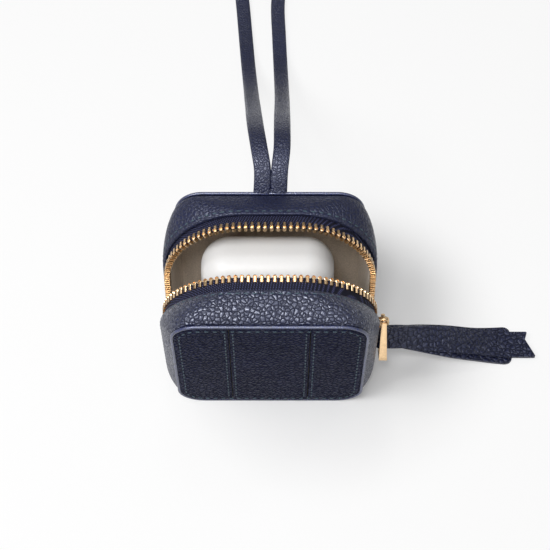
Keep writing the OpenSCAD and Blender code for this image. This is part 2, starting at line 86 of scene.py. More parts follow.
class PouchSizes(PropertyGroup):
    """Sizes of the pouch and of what is in it"""
    panel_w: length("Panel width", 62, "Width of the front and back panels at the piping")
    panel_top: length("Panel top", 64.5, "Height of the panels above the fold")
    panel_bottom: length("Panel bottom", 1.1, "Height of the panels' lower edge above the fold")
    panel_r: length("Panel corners", 8.5, "Corner radius of the panels")
    piping_r: length("Piping radius", 1.05, "Radius of the piping round a panel")
    piping_seen_r: length("Piping seen", 0.55, "Radius of the piping that shows between the leathers")
    piping_out: length("Piping offset", 0.33, "How far the piping lies outside the panel's outline")
    half_depth: length("Half depth", 17.8, "Depth of one half from the zip to its piping")
    panel_in: length("Panel inside", 17.15, "Depth of the panel's inner face")
    leather_t: length("Leather", 1.2, "Thickness of the leather")
    gusset_out: length("Wall depth", 16.65, "Depth at which the wall meets the piping")
    leather_edge: length("Leather edge", 6.2, "Depth of the wall's edge beside the zip")
    zip_w: length("Zip width", 72.5, "Width of the pouch at the zip")
    zip_top: length("Zip top", 68, "Height of the zip above the fold")
    zip_top_r: length("Zip top corners", 28, "Radius of the zip's upper corners")
    zip_bottom_r: length("Zip lower corners", 10, "Radius of the zip's lower corners")
    strip_top: length("Base strip top", 14, "Height at which the base strip ends")
    seam_half_w: length("Middle piece", 13, "Half the width of the front panel's middle piece")
    tape_mid: length("Tape depth", 1.6, "Depth of the zip tape behind the leather's outer face")
    tape_t: length("Tape thickness", 0.6, "Thickness of the zip tape")
    tooth_tip: length("Tooth tip", 0.6, "Distance of the teeth from the zip's middle plane")
    tooth_l: length("Tooth length", 2.6, "Length of a tooth")
    tooth_head_r: length("Tooth head", 0.7, "Radius of a tooth's round head")
    tooth_t: length("Tooth height", 2, "Height of a tooth across the tape")
    tooth_pitch: length("Tooth pitch", 2.1, "Distance between teeth")
    tooth_start: length("Row start", 31.5, "Height at which the rows start on the slider's side")
    tooth_end: length("Row end", 19, "Height at which the rows end on the other side")
    slider_top: length("Slider top", 24.6, "Height of the slider's mouth above the fold")
    strap_w: length("Strap width", 5.65, "Width of the wrist strap")
    strap_t: length("Strap thickness", 1.8, "Thickness of the wrist strap")
    tab_w: length("Pull width", 8, "Width of the leather pull at its fold")
    tail_w: length("Swallowtail width", 10.2, "Width of the pull's swallowtail end")
    under_w: length("Rounded end width", 15.2, "Width of the pull's rounded end")
    tab_t: length("Pull leather", 1.2, "Thickness of the pull's leather")
    tab_l: length("Pull length", 55, "Length of the pull's swallowtail end")
    tab_step: length("Pull step", 8, "How much shorter the rounded end is")
    bud_w: length("Case width", 44.3, "Width of the charging case")
    bud_h: length("Case height", 53.5, "Height of the charging case")
    bud_d: length("Case depth", 21.3, "Depth of the charging case")
    bud_r: length("Case edges", 9.5, "Edge radius of the charging case")
    bud_back: length("Case set back", 1, "How far the charging case stands behind the zip")
    bud_shift: length("Case shift", -0.8, "How far the charging case stands to the slider's side")
    bud_seam_h: length("Lid seam", 37, "Height of the lid's seam on the charging case")
    stitch_pitch: length("Stitch pitch", 2.7, "Distance between stitches")


class PouchColours(PropertyGroup):
    """Colours of the pouch and of what is in it"""
    leather: colour("Leather", (0.0135, 0.0175, 0.056), "Navy leather")
    # The crease tone is painted shade: the leather is drawn darker between its pebbles
    leather_crease_shade: colour("Leather creases", (0.006, 0.007, 0.022), "Leather between its pebbles")
    thread: colour("Thread", (0.06, 0.1, 0.13), "Stitching")
    tape: colour("Zip tape", (0.006, 0.0065, 0.015), "Woven zip tape")
    gold: colour("Gold", (0.76, 0.54, 0.32), "Teeth, slider and ring")
    lining: colour("Lining", (0.65, 0.555, 0.455), "Taupe lining")
    plastic: colour("Plastic", (0.86, 0.86, 0.86), "Charging case")
    board: colour("Board", (0.3, 0.27, 0.22), "Stiff board behind the leather")
    steel: colour("Steel", (0.6, 0.6, 0.6), "Hinge of the charging case's lid")


# Materials

def new_material(name, base, roughness, metallic=0.0):
    mat = bpy.data.materials.new(name)
    mat.use_nodes = True
    tree = mat.node_tree
    shader = tree.nodes["Principled BSDF"]
    settle(tree, shader, Base_Color=(*base, 1), Roughness=roughness, Metallic=metallic)
    mat.diffuse_color = (*base, 1)
    return mat, tree, shader


def feed(tree, socket, value):
    """Link an output to an input, or set the input's own value"""
    if isinstance(value, bpy.types.NodeSocket):
        tree.links.new(value, socket)
    else:
        socket.default_value = value


def settle(tree, made, **settings):
    """Give a node its settings, each an input with underscores for spaces or a property of the node"""
    for key, value in settings.items():
        title = key.replace("_", " ")
        if title in made.inputs:
            feed(tree, made.inputs[title], value)
        else:
            setattr(made, key, value)


def node(tree, kind, *values, **settings):
    """A new node with its settings, and values for its inputs in their order"""
    made = tree.nodes.new("ShaderNode" + kind)
    settle(tree, made, **settings)
    for i, value in enumerate(values):
        feed(tree, made.inputs[i], value)
    return made


def object_place(tree, scale=(1, 1, 1)):
    where = node(tree, "TexCoord")
    return node(tree, "Mapping", Vector=where.outputs["Object"], Scale=scale).outputs["Vector"]


def noise(tree, place, scale, detail, output="Fac"):
    return node(tree, "TexNoise", Vector=place, Scale=scale, Detail=detail).outputs[output]


def bump(tree, height, strength, distance, **below):
    made = node(tree, "Bump", Height=height, Strength=strength, Distance=distance, **below)
    return made.outputs["Normal"]


def grey(value):
    return (value, value, value)


def shade(tone, share):
    return tuple(min(1, share * c) for c in tone)


def ramp(tree, source, *stops):
    """Tones along a source, each at a place; a bare number is a grey"""
    made = node(tree, "ValToRGB", source)
    steps = made.color_ramp.elements
    for i, (place, tone) in enumerate((stops[0], stops[-1], *stops[1:-1])):
        step = steps[i] if i < 2 else steps.new(place)
        step.position = place
        step.color = (*(grey(tone) if isinstance(tone, (int, float)) else tone), 1)
    return made.outputs["Color"]


def pebbled_leather(name, tones, ior, depth, gloss, cells, contrast=1.0, lift=1.0):
    """Pebbled leather: flat-topped cells with matt creases between them, painted darker as shade, and a
    finer grain on top
    """
    mat, tree, shader = new_material(name, tones.leather, gloss)
    place = object_place(tree)
    stir = noise(tree, place, 420, 3, "Color")
    moved = node(tree, "VectorMath", stir, grey(0.0011), place, operation="MULTIPLY_ADD")
    pebble = node(
        tree, "TexVoronoi", feature="DISTANCE_TO_EDGE", Vector=moved.outputs["Vector"], Scale=cells)
    crown = ramp(tree, pebble.outputs["Distance"], (0, 0), (0.12, 0.7), (0.4, 1))
    # Painted shade: the creases take the darker crease tone, the crowns the leather's tone times the lift
    creased = node(
        tree, "Mix", data_type="RGBA", Factor=crown, A=(*tones.leather_crease_shade, 1),
        B=(*shade(tones.leather, lift), 1))
    broad = ramp(tree, noise(tree, place, 55, 2), (0.3, 0.75), (0.7, 1.25))
    wear_and_crease_shade = node(
        tree, "Mix", data_type="RGBA", blend_type="MULTIPLY", Factor=0.5,
        A=creased.outputs["Result"], B=broad)
    shine = ramp(tree, crown, (0, gloss + 0.4 * contrast), (0.6, gloss + 0.1), (1, gloss))
    low = bump(tree, crown, depth, 0.0005)
    high = bump(tree, noise(tree, place, 3600, 4), 0.22, 0.0001, Normal=low)
    settle(
        tree, shader, IOR=ior, Specular_Tint=(0.84, 0.88, 1, 1), Base_Color=wear_and_crease_shade.outputs["Result"],
        Roughness=shine, Normal=high)
    return mat


def twisted_thread(name, tones):
    mat, tree, shader = new_material(name, tones.thread, 0.6)
    twist = node(
        tree, "TexWave", wave_type="BANDS", bands_direction="DIAGONAL", Vector=object_place(tree),
        Scale=900).outputs["Fac"]
    colours = ramp(tree, twist, (0.2, shade(tones.thread, 0.6)), (0.8, shade(tones.thread, 1.3)))
    settle(tree, shader, Base_Color=colours, Normal=bump(tree, twist, 0.5, 0.0001))
    return mat


def woven_tape(name, tones):
    """Twill of the zip tape: two sets of slanting ribs, whose crossings are painted far lighter as a
    highlight
    """
    mat, tree, shader = new_material(name, tones.tape, 0.75)
    place = object_place(tree)
    ribs = []
    for turn in (0.6, -0.6):
        mapping = node(tree, "Mapping", Vector=place, Rotation=grey(turn))
        wave = node(
            tree, "TexWave", wave_type="BANDS", bands_direction="X", Scale=520, Distortion=0.6,
            Vector=mapping.outputs["Vector"])
        ribs.append(wave.outputs["Fac"])
    cross = node(tree, "Math", *ribs, operation="MULTIPLY").outputs["Value"]
    # Painted highlight: where the ribs cross, the tape is drawn up to seventeen times its own tone
    colours = ramp(tree, cross, (0.45, tones.tape), (0.85, shade(tones.tape, 17)))
    settle(
        tree, shader, Specular_IOR_Level=0.2, Base_Color=colours, Normal=bump(tree, cross, 0.7, 0.0002))
    return mat


def lining_cloth(name, tones):
    tone = tones.lining
    mat, tree, shader = new_material(name, tone, 0.85)
    nap = noise(tree, object_place(tree), 2600, 4)
    # The streaks that crease the cloth also colour it: painted shade in their hollows and painted light on
    # their crests, over the nap's random tone
    streak = noise(tree, object_place(tree, (1, 1, 0.12)), 260, 3)
    mixed = node(
        tree, "Mix", data_type="RGBA", blend_type="MULTIPLY", Factor=0.7,
        A=ramp(tree, nap, (0.3, shade(tone, 0.8)), (0.7, shade(tone, 1.15))),
        B=ramp(tree, streak, (0.3, 0.8), (0.7, 1.1)))
    settle(
        tree, shader, Sheen_Weight=0.15, Base_Color=mixed.outputs["Result"],
        Normal=bump(tree, streak, 0.6, 0.0006))
    return mat


def polished_gold(name, tones):
    mat, tree, shader = new_material(name, tones.gold, 0.16, 1.0)
    wear = noise(tree, object_place(tree), 700, 3)
    colours = ramp(tree, wear, (0.35, shade(tones.gold, 0.86)), (0.65, tones.gold))
    settle(tree, shader, Base_Color=colours, Roughness=ramp(tree, wear, (0.3, 0.16), (0.75, 0.28)))
    return mat


def moulded_plastic(name, tones):
    mat, tree, shader = new_material(name, tones.plastic, 0.4)
    skin = noise(tree, object_place(tree), 900, 2)
    colours = ramp(tree, skin, (0.3, shade(tones.plastic, 0.985)), (0.7, tones.plastic))
    settle(tree, shader, Base_Color=colours, Roughness=ramp(tree, skin, (0.3, 0.36), (0.7, 0.42)))
    return mat


def plain_board(name, tones):
    mat, tree, shader = new_material(name, tones.board, 0.9)
    fibre = noise(tree, object_place(tree), 1500, 3)
    settle(tree, shader, Base_Color=ramp(tree, fibre, (0.3, shade(tones.board, 0.8)), (0.7, tones.board)))
    return mat


def brushed_steel(name, tones):
    mat, tree, shader = new_material(name, tones.steel, 0.3, 1.0)
    lines = noise(tree, object_place(tree, (0.05, 1, 1)), 900, 2)
    settle(tree, shader, Roughness=ramp(tree, lines, (0.3, 0.25), (0.7, 0.4)))
    return mat


# Leathers: index of refraction, depth of the grain, gloss, cells, contrast of the gloss, lift of the tone
# The lift is painted light: the piping's 2.6 is a painted highlight, the panels' 0.9 painted shade
LEATHERS = {
    "pebbled_navy": (1.78, 0.8, 0.24, 720),
    "matt_navy_painted_shade": (1.12, 1.0, 0.34, 680, 0.9, 0.9),
    "piping_navy_painted_highlight": (2.0, 0.06, 0.24, 900, 0.3, 2.6),
    "soft_navy": (1.5, 0.45, 0.28, 720, 0.7),
    "pull_navy": (1.52, 1.0, 0.22, 600, 1.0),
    "strap_navy": (1.6, 0.42, 0.28, 900, 0.7),
}
MAKERS = {
    "stitch_thread": twisted_thread, "woven_tape": woven_tape, "creased_taupe": lining_cloth,
    "polished_gold": polished_gold, "moulded_white": moulded_plastic, "pressed_board": plain_board,
    "brushed_steel": brushed_steel,
}


def finish(name):
    """The material of that name, made the first time it is asked for"""
    found = bpy.data.materials.get(name)
    tones = bpy.context.scene.pouch_colours
    if found:
        return found
    if name in LEATHERS:
        return pebbled_leather(name, tones, *LEATHERS[name])
    return MAKERS[name](name, tones)


# Places and outlines of the two halves

def mix(a, b, t):
    return a + (b - a) * t


def clamp(t):
    return max(0.0, min(1.0, t))


def ease(t):
    t = clamp(t)
    return t * t * (3 - 2 * t)


def half_place(side, x, out, up):
    """A half's own place, across, out from the zip and up from the fold, in the row's frame"""
    turned_y = out * cos(TILT) + up * sin(TILT)
    turned_z = up * cos(TILT) - out * sin(TILT)
    return Vector((x, side * turned_y, FOLD_Z + turned_z))


def wall_shape(t, inset):
    """Outline of the wall from the piping (0) to the zip (1), moved inwards"""
    size = bpy.context.scene.pouch_sizes
    grown = sin(pi / 2 * max(t, 0)) ** 0.75
    half_pipe = size.piping_r / 2
    return (
        mix(size.panel_w / 2 + half_pipe, size.zip_w / 2, grown) - inset,
        mix(size.panel_top + half_pipe, size.zip_top, grown) - inset,
        mix(size.panel_bottom - half_pipe, 0, grown) + inset,
        max(mix(size.panel_r, size.zip_top_r, t) - inset, 2 * MM),
        max(mix(size.panel_r, size.zip_bottom_r, t) - inset, 2 * MM))


def panel_shape(inset):
    size = bpy.context.scene.pouch_sizes
    r = max(size.panel_r - inset, 2 * MM)
    return (size.panel_w / 2 - inset, size.panel_top - inset, size.panel_bottom + inset, r, r)


def round_points(shape, corner=14, straight=10):
    """Points round an outline as (across, up), from the right side upwards"""
    half_w, top, bottom, r_top, r_low = shape
    arcs = (
        (half_w - r_top, top - r_top, r_top, 0),
        (r_top - half_w, top - r_top, r_top, 90),
        (r_low - half_w, bottom + r_low, r_low, 180),
        (half_w - r_low, bottom + r_low, r_low, 270))
    bends = []
    for cx, cz, r, start in arcs:
        turns = [radians(start + 90 * i / corner) for i in range(corner + 1)]
        bends.append([(cx + r * cos(a), cz + r * sin(a)) for a in turns])
    points = []
    for i, bend in enumerate(bends):
        points.extend(bend)
        goal = bends[(i + 1) % 4][0]
        for k in range(1, straight):
            points.append((mix(bend[-1][0], goal[0], k / straight), mix(bend[-1][1], goal[1], k / straight)))
    return points


# Mesh helpers

def half_ring(side, out, outline):
    """An outline's points at one depth of a half"""
    return [half_place(side, x, out, up) for x, up in outline]


def into_half(bm, side):
    """Move a shape from a half's own place into the row's frame"""
    for vert in bm.verts:
        vert.co = half_place(side, *vert.co)


def closed_loop(bm, points):
    verts = [bm.verts.new(p) for p in points]
    return [bm.edges.new((verts[i - 1], verts[i])) for i in range(len(verts))]


def loft(bm, rings, cyclic=False):
    """Bridge closed rings of points into one skin"""
    loops = [closed_loop(bm, ring) for ring in rings]
    pairs = list(zip(loops, loops[1:]))
    if cyclic:
        pairs.append((loops[-1], loops[0]))
    for first, second in pairs:
        bmesh.ops.bridge_loops(bm, edges=first + second)
    if not cyclic:
        bmesh.ops.holes_fill(bm, edges=loops[0] + loops[-1], sides=0)


def bevel(bm, edges, offset, segments):
    bmesh.ops.bevel(
        bm, geom=edges, offset=offset, offset_type="OFFSET", affect="EDGES", segments=segments, profile=0.5,
        material=-1, clamp_overlap=True)


def soften(bm, offset, angle=35):
    """Round the sharp edges of a shape"""
    sharp = radians(angle)
    edges = [e for e in bm.edges if len(e.link_faces) == 2 and e.calc_face_angle(0) > sharp]
    bevel(bm, edges, offset, 2)


def extrude(bm, faces, way):
    """Extrude faces one way, and give the corners that moved"""
    grown = bmesh.ops.extrude_face_region(bm, geom=faces)
    moved = [v for v in grown["geom"] if isinstance(v, bmesh.types.BMVert)]
    bmesh.ops.translate(bm, vec=way, verts=moved)
    return moved


def cut_off(bm, place, away):
    """Cut off what lies beyond a plane"""
    return bmesh.ops.bisect_plane(
        bm, geom=bm.verts[:] + bm.edges[:] + bm.faces[:], plane_co=place, plane_no=away, clear_outer=True)


def mesh_of(name, bm):
    mesh = bpy.data.meshes.new(name)
    bm.to_mesh(mesh)
    bm.free()
    return mesh


def piece(name, bm, material, body, stands_for=(), sharp=40, recalc=True):
    """Turn a bmesh into a piece that rides on a body, or that stays fixed where it was built when given two
    bodies
    """
    if recalc:
        bmesh.ops.recalc_face_normals(bm, faces=bm.faces[:])
    mesh = mesh_of(name, bm)
    mesh.shade_smooth()
    mesh.set_sharp_from_angle(angle=radians(sharp))
    mesh.materials.append(finish(material))
    obj = bpy.data.objects.new(name, mesh)
    bpy.context.collection.objects.link(obj)
    if isinstance(body, str):
        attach(obj, body)
    else:
        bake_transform(obj)
    if stands_for:
        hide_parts(*stands_for)
    return obj


def lofted(name, rings, material, body, stands_for, sharp, cyclic=False):
    """A piece made by bridging rings of points"""
    bm = bmesh.new()
    loft(bm, rings, cyclic)
    return piece(name, bm, material, body, stands_for, sharp)


def scattered(name, pattern, places, material, body, stands_for=(), sharp=40):
    """A piece made of copies of a pattern mesh, one at each place"""
    bm = bmesh.new()
    for place in places:
        first = len(bm.verts)
        bm.from_mesh(pattern)
        bm.verts.ensure_lookup_table()
        bmesh.ops.transform(bm, matrix=place, verts=bm.verts[first:])
    return piece(name, bm, material, body, stands_for, sharp, recalc=False)


def folding(reach):
    """The two bodies of a piece between the halves, and its edges on them"""
    return ("front_half", "rear_half", (0, -reach, 0), (0, reach, 0))


def columns(x, y, z, origin):
    """Matrix from its axes and its origin"""
    return Matrix((*zip(x, y, z, origin), (0, 0, 0, 1)))


def axes_at(origin, along, normal):
    """Matrix with x along, z on the normal"""
    x = along.normalized()
    z = (normal - x * normal.dot(x)).normalized()
    return columns(x, z.cross(x), z, origin)


def stitch_pattern(long=1.55, wide=0.5, high=0.42):
    bm = bmesh.new()
    lying = Matrix.Rotation(pi / 2, 4, "Y")
    bmesh.ops.create_uvsphere(bm, u_segments=6, v_segments=5, radius=0.5, matrix=lying)
    bmesh.ops.scale(bm, vec=(long * MM, wide * MM, high * MM), verts=bm.verts[:])
    return mesh_of("stitch_pattern", bm)


def stitch_places(points, normals, pitch):
    """Places of stitches along a line of points"""
    places = []
    travelled = pitch / 2
    for i in range(len(points) - 1):
        step = points[i + 1] - points[i]
        span = step.length
        if span < 1e-9:
            continue
        while travelled <= span:
            t = travelled / span
            normal = normals[i].lerp(normals[i + 1], t).normalized()
            places.append(axes_at(points[i].lerp(points[i + 1], t), step, normal))
            travelled += pitch
        travelled -= span
    return places


def merged_copy(name):
    """A CAD node's shape as a merged bmesh"""
    bm = bmesh.new()
    bm.from_mesh(frame["nodes"][name].data)
    bmesh.ops.remove_doubles(bm, verts=bm.verts[:], dist=1e-6)
    bmesh.ops.dissolve_limit(bm, angle_limit=radians(1), verts=bm.verts[:], edges=bm.edges[:])
    return bm


# Operators

# Lamps: place, side of the square, power; all of them face the middle of the pouch
LAMPS = {
    "key_light": ((-0.34, -0.18, 0.62), 0.3, 2.78),
    "top_light": ((-0.06, -0.26, 0.67), 0.14, 1.33),
    "back_light": ((-0.03, 0.24, 0.66), 0.12, 0.28),
    "left_light": ((-0.5, 0.42, 0.42), 0.16, 0.28),
    "right_light": ((0.5, 0.42, 0.42), 0.16, 0.16),
}


class POUCH_OT_stage(Operator):
    """Camera, pale floor and soft studio light"""
    bl_idname = "pouch.stage"
    bl_label = "Stage"

    def execute(self, context):
        scene = context.scene
        scene.view_settings.view_transform = "Standard"
        data = bpy.data.cameras.new("camera")
        data.sensor_width = 36
        data.lens = 104.1
        data.clip_start = 0.01
        target = Vector((0.00168, 0, 0.05437))
        rise = radians(58.07)
        distance = 0.52133
        place = target + distance * Vector((0, -cos(rise), sin(rise)))
        scene.camera = self.aimed("camera", data, place, target)
        self.floor(scene)
        self.world(scene)
        for name, (place, side, power) in LAMPS.items():
            data = bpy.data.lights.new(name, "AREA")
            data.energy = power
            data.size = side
            self.aimed(name, data, Vector(place), Vector((0, 0, 0.03)))
        return {"FINISHED"}

    def aimed(self, name, data, place, target):
        made = bpy.data.objects.new(name, data)
        made.location = place
        made.rotation_euler = (target - made.location).to_track_quat("-Z", "Y").to_euler()
        bpy.context.scene.collection.objects.link(made)
        return made

    def floor(self, scene):
        """Matt floor that keeps the shadow near the pouch, and glows as painted light further out until it
        runs out to white
        """
        bm = bmesh.new()
        bmesh.ops.create_grid(bm, x_segments=4, y_segments=4, size=3)
        mat, tree, shader = new_material("pale_floor", grey(0.98), 0.9)
        settle(tree, shader, Specular_IOR_Level=0.0)
        glow = node(tree, "Emission", Strength=1.0)
        # Painted light: the floor's glow to camera and mirror rays grows with distance from the pouch,
        # washing its shadow out
        away = node(tree, "VectorMath", object_place(tree), (0.022, 0.008, 0), operation="DISTANCE")
        painted_glow_fade = node(
            tree, "MapRange", interpolation_type="SMOOTHSTEP", Value=away.outputs["Value"],
            From_Min=0.032, From_Max=0.068, To_Min=0.22, To_Max=0.8)
        share = node(
            tree, "Math", self.seen_directly(tree), painted_glow_fade.outputs["Result"], operation="MULTIPLY")
        both = node(
            tree, "MixShader", share.outputs["Value"], shader.outputs["BSDF"],
            glow.outputs["Emission"])
        settle(tree, tree.nodes["Material Output"], Surface=both.outputs["Shader"])
        mesh = mesh_of("floor", bm)
        mesh.materials.append(mat)
        floor = bpy.data.objects.new("floor", mesh)
        scene.collection.objects.link(floor)

    def seen_directly(self, tree):
        """One for rays from the camera, mirrors and glass, and nought for the rest"""
        path = node(tree, "LightPath")
        seen = path.outputs["Is Camera Ray"]
        for ray in ("Is Glossy Ray", "Is Transmission Ray"):
            seen = node(tree, "Math", seen, path.outputs[ray], operation="MAXIMUM").outputs["Value"]
        return seen

    def world(self, scene):
        """White to the camera, faint as light, and brighter overhead in reflections"""
        world = bpy.data.worlds.new("studio")
        world.use_nodes = True
        scene.world = world
        tree = world.node_tree
        place = node(tree, "TexCoord").outputs["Generated"]
        towards = node(tree, "VectorMath", place, (-0.1, -0.52, 0.85), operation="DOT_PRODUCT")
        ceiling = node(
            tree, "MapRange", Value=towards.outputs["Value"], From_Min=0.35, To_Min=0.25, To_Max=2.1)
        path = node(tree, "LightPath")
        mirrored = node(
            tree, "Mix", data_type="FLOAT", Factor=path.outputs["Is Glossy Ray"], A=0.15,
            B=ceiling.outputs["Result"])
        seen = node(
            tree, "Mix", data_type="FLOAT", Factor=path.outputs["Is Camera Ray"],
            A=mirrored.outputs["Result"], B=1.0)
        settle(tree, tree.nodes["Background"], Color=(1, 1, 1, 1), Strength=seen.outputs["Result"])


# Middle line of the strap from the back seam round to it: across, back and up in mm, and its turn to flat
STRAP_ROUTE = (
    (3.22, 31, 70, 0), (4, 38, 72.5, 0), (4.1, 48, 70, 0), (4.15, 61, 60, 0), (4.25, 77, 43.5, 0),
    (4.35, 94, 27, 0), (4.25, 112, 12, 0), (3.85, 130, 3.5, 0), (3.3, 147, 1.4, 0), (2.85, 163, 1.4, 0),
    (4, 174, 2, 0.5), (7, 184, 3, 1), (4, 194, 3, 1), (-4, 198, 3, 1), (-12, 194, 3, 1), (-15, 184, 3, 1),
    (-12.7, 174, 2, 0.5), (-11.45, 163, 1.4, 0), (-10.2, 147, 1.4, 0), (-8.95, 130, 3.5, 0),
    (-7.75, 112, 12, 0), (-6.9, 94, 27, 0), (-6.15, 77, 43.5, 0), (-5.55, 61, 60, 0), (-4.75, 48, 70, 0),
    (-3.55, 38, 72.5, 0), (-2.44, 31, 70, 0))


class POUCH_OT_wrist_strap(Operator):
    """Folded leather wrist strap, from one side of the back seam round to the other"""
    bl_idname = "pouch.wrist_strap"
    bl_label = "Wrist strap"

    def execute(self, context):
        size = context.scene.pouch_sizes
        root = half_place(REAR, 0, size.half_depth + 0.3 * MM, size.panel_top + 0.4 * MM)
        offset = size.strap_w / 2
        route = [Vector((offset + 0.05 * MM, root.y, root.z, 0))]
        route += [Vector((x * MM, y * MM, z * MM, turn)) for x, y, z, turn in STRAP_ROUTE]
        route.append(Vector((0.15 * MM - offset, root.y, root.z, 0)))
        line = self.smooth_line(route, 5)
        rings = [self.ring(size, line, i) for i in range(len(line))]
        strap = lofted(
            "leather_wrist_strap", rings, "strap_navy", "rear_half", ["wrist_strap"], 50)
        return {"FINISHED"}

    def smooth_line(self, route, steps):
        line = []
        last = len(route) - 1
        for i in range(last):
            a, b, c, d = route[max(0, i - 1)], route[i], route[i + 1], route[min(last, i + 2)]
            square = 2 * a - 5 * b + 4 * c - d
            cube = 3 * b - a - 3 * c + d
            for k in range(steps):
                t = k / steps
                line.append(0.5 * (2 * b + (c - a) * t + square * t * t + cube * t ** 3))
        line.append(route[-1])
        return line

    def ring(self, size, line, i):
        last = len(line) - 1
        along = (line[min(last, i + 1)].xyz - line[max(0, i - 1)].xyz).normalized()
        flat_side = Vector((1 if i < last / 2 else -1, 0, 0))
        turn = pi / 2 * ease(line[i].w)
        wanted = cos(turn) * flat_side + sin(turn) * Vector((0, 0, 1))
        across = (wanted - along * wanted.dot(along)).normalized()
        normal = along.cross(across)
        section = []
        for k in range(24):
            a = 2 * pi * k / 24
            c, s = cos(a), sin(a)
            u = copysign(abs(c) ** 0.35, c) * size.strap_w / 2
            v = copysign(abs(s) ** 0.7, s) * size.strap_t / 2
            section.append(line[i].xyz + across * u + normal * v)
        return section


class POUCH_OT_walls(Operator):
    """Shaped leather walls of the two halves, with the stitching beside the zip"""
    bl_idname = "pouch.walls"
    bl_label = "Walls"

    def execute(self, context):
        size = context.scene.pouch_sizes
        for side, word, body in HALVES:
            skin = "soft_navy" if side == REAR else "pebbled_navy"
            rings = self.rings(size, side)
            lofted(word + "_leather_wall", rings, skin, body, [word + "_gusset"], 60, True)
            self.stitches(size, side, word, body)
        return {"FINISHED"}

    def level(self, size, out):
        return (size.gusset_out - out) / (size.gusset_out - size.leather_edge)

    def rings(self, size, side):
        """Up the outside from the edge beside the zip, round under the piping and back down the inside"""
        edge = size.leather_edge
        deep = size.gusset_out
        outs = [edge + step for step in (0, 0.12 * MM, 0.4 * MM, 0.9 * MM, STITCH_IN, 1.6 * MM)]
        outs += [mix(edge + 2.2 * MM, deep, (i / 9) ** 0.85) for i in range(10)]
        dips = {0: 0.35, 1: 0.12, 4: 0.14}
        levels = [(out, self.level(size, out), dips.get(i, 0)) for i, out in enumerate(outs)]
        levels += [(deep + past * MM, 0, inset) for past, inset in ((0.12, 0.12), (0.25, 0.4), (0.55, 0.75))]
        for out, inset in ((deep, 1.0), (mix(edge, deep, 0.5), 1.2), (edge, 0.9)):
            levels.append((out, self.level(size, out), inset))
        return [half_ring(side, out, round_points(wall_shape(t, inset * MM))) for out, t, inset in levels]

    def stitches(self, size, side, word, body):
        out = size.leather_edge + STITCH_IN
        rows = []
        for inset in (0.1, 1.1):
            line = round_points(wall_shape(self.level(size, out), inset * MM), 20, 30)
            rows.append(half_ring(side, out, line + line[:1]))
        normals = [(a - b).normalized() for a, b in zip(*rows)]
        places = stitch_places(rows[0], normals, size.stitch_pitch)
        scattered(word + "_wall_stitches", stitch_pattern(), places, "stitch_thread", body)


class POUCH_OT_panels(Operator):
    """Front panel of three sewn pieces, plain back panel and their top-stitching"""
    bl_idname = "pouch.panels"
    bl_label = "Panels"

    def execute(self, context):
        size = context.scene.pouch_sizes
        gap = 0.12 * MM
        inner = size.seam_half_w - gap
        outer = size.seam_half_w + gap
        self.panel(size, REAR, "rear_leather_panel", "rear_half", "rear_panel", [])
        cuts = {
            "front_panel_centre": [(inner, 1), (-inner, -1)],
            "front_panel_right": [(outer, -1)],
            "front_panel_left": [(-outer, 1)],
        }
        for name, planes in cuts.items():
            self.panel(size, FRONT, name + "_leather", "front_half", name, planes)
        for side, word, body in HALVES:
            self.edge_stitches(size, side, word + "_panel_stitches", body)
        self.seam_stitches(size)
        return {"FINISHED"}

    def panel(self, size, side, name, body, stands_for, planes):
        bm = bmesh.new()
        shape = panel_shape(size.piping_seen_r - size.piping_out + 0.07 * MM)
        closed_loop(bm, [(x, size.panel_in, up) for x, up in round_points(shape, 12, 12)])
        bmesh.ops.contextual_create(bm, geom=bm.edges[:])
        for x, away in planes:
            cut_off(bm, (x, 0, 0), (away, 0, 0))
        extrude(bm, bm.faces[:], (0, size.leather_t, 0))
        out = size.panel_in + size.leather_t
        rim = [e for e in bm.edges if all(abs(v.co.y - out) < 1e-7 for v in e.verts)]
        bevel(bm, rim, 0.32 * MM, 3)
        into_half(bm, side)
        # The panels' leather is painted a little darker as shade
        piece(name, bm, "matt_navy_painted_shade", body, [stands_for], 50)

    def row(self, size, side, line):
        points = half_ring(side, size.panel_in + size.leather_t + 0.02 * MM, line)
        normal = half_place(side, 0, 1, 0) - half_place(side, 0, 0, 0)
        return stitch_places(points, [normal] * len(points), size.stitch_pitch)

    def edge_stitches(self, size, side, name, body):
        line = round_points(panel_shape(size.piping_r + 0.95 * MM), 16, 20)
        scattered(name, stitch_pattern(), self.row(size, side, line + line[:1]), "stitch_thread", body)

    def seam_stitches(self, size):
        places = []
        inset = size.piping_r + 2.2 * MM
        for seam in (-size.seam_half_w, size.seam_half_w):
            for beside in (-1.3 * MM, 1.3 * MM):
                x = seam + beside
                line = [(x, size.panel_top - inset), (x, size.panel_bottom + inset)]
                places += self.row(size, FRONT, line)
        scattered("front_seam_stitches", stitch_pattern(), places, "stitch_thread", "front_half")


class POUCH_OT_piping(Operator):
    """Leather-covered piping round both panels"""
    bl_idname = "pouch.piping"
    bl_label = "Piping"

    def execute(self, context):
        size = context.scene.pouch_sizes
        middle = round_points(panel_shape(-size.piping_out), 14, 16)
        outer = round_points(panel_shape(-size.piping_out - MM), 14, 16)
        for side, word, body in HALVES:
            rings = []
            for (x, up), (ox, oup) in zip(middle, outer):
                rings.append(self.ring(size, side, x, up, (ox - x) / MM, (oup - up) / MM))
            name = word + "_leather_piping"
            # The piping's leather is painted much lighter as a highlight
            lofted(name, rings, "piping_navy_painted_highlight", body, [word + "_piping"], 80, True)
        return {"FINISHED"}

    def ring(self, size, side, x, up, dx, dup):
        points = []
        for k in range(12):
            a = 2 * pi * k / 12
            reach = size.piping_seen_r * cos(a)
            out = size.half_depth + size.piping_seen_r * sin(a)
            points.append(half_place(side, x + dx * reach, out, up + dup * reach))
        return points


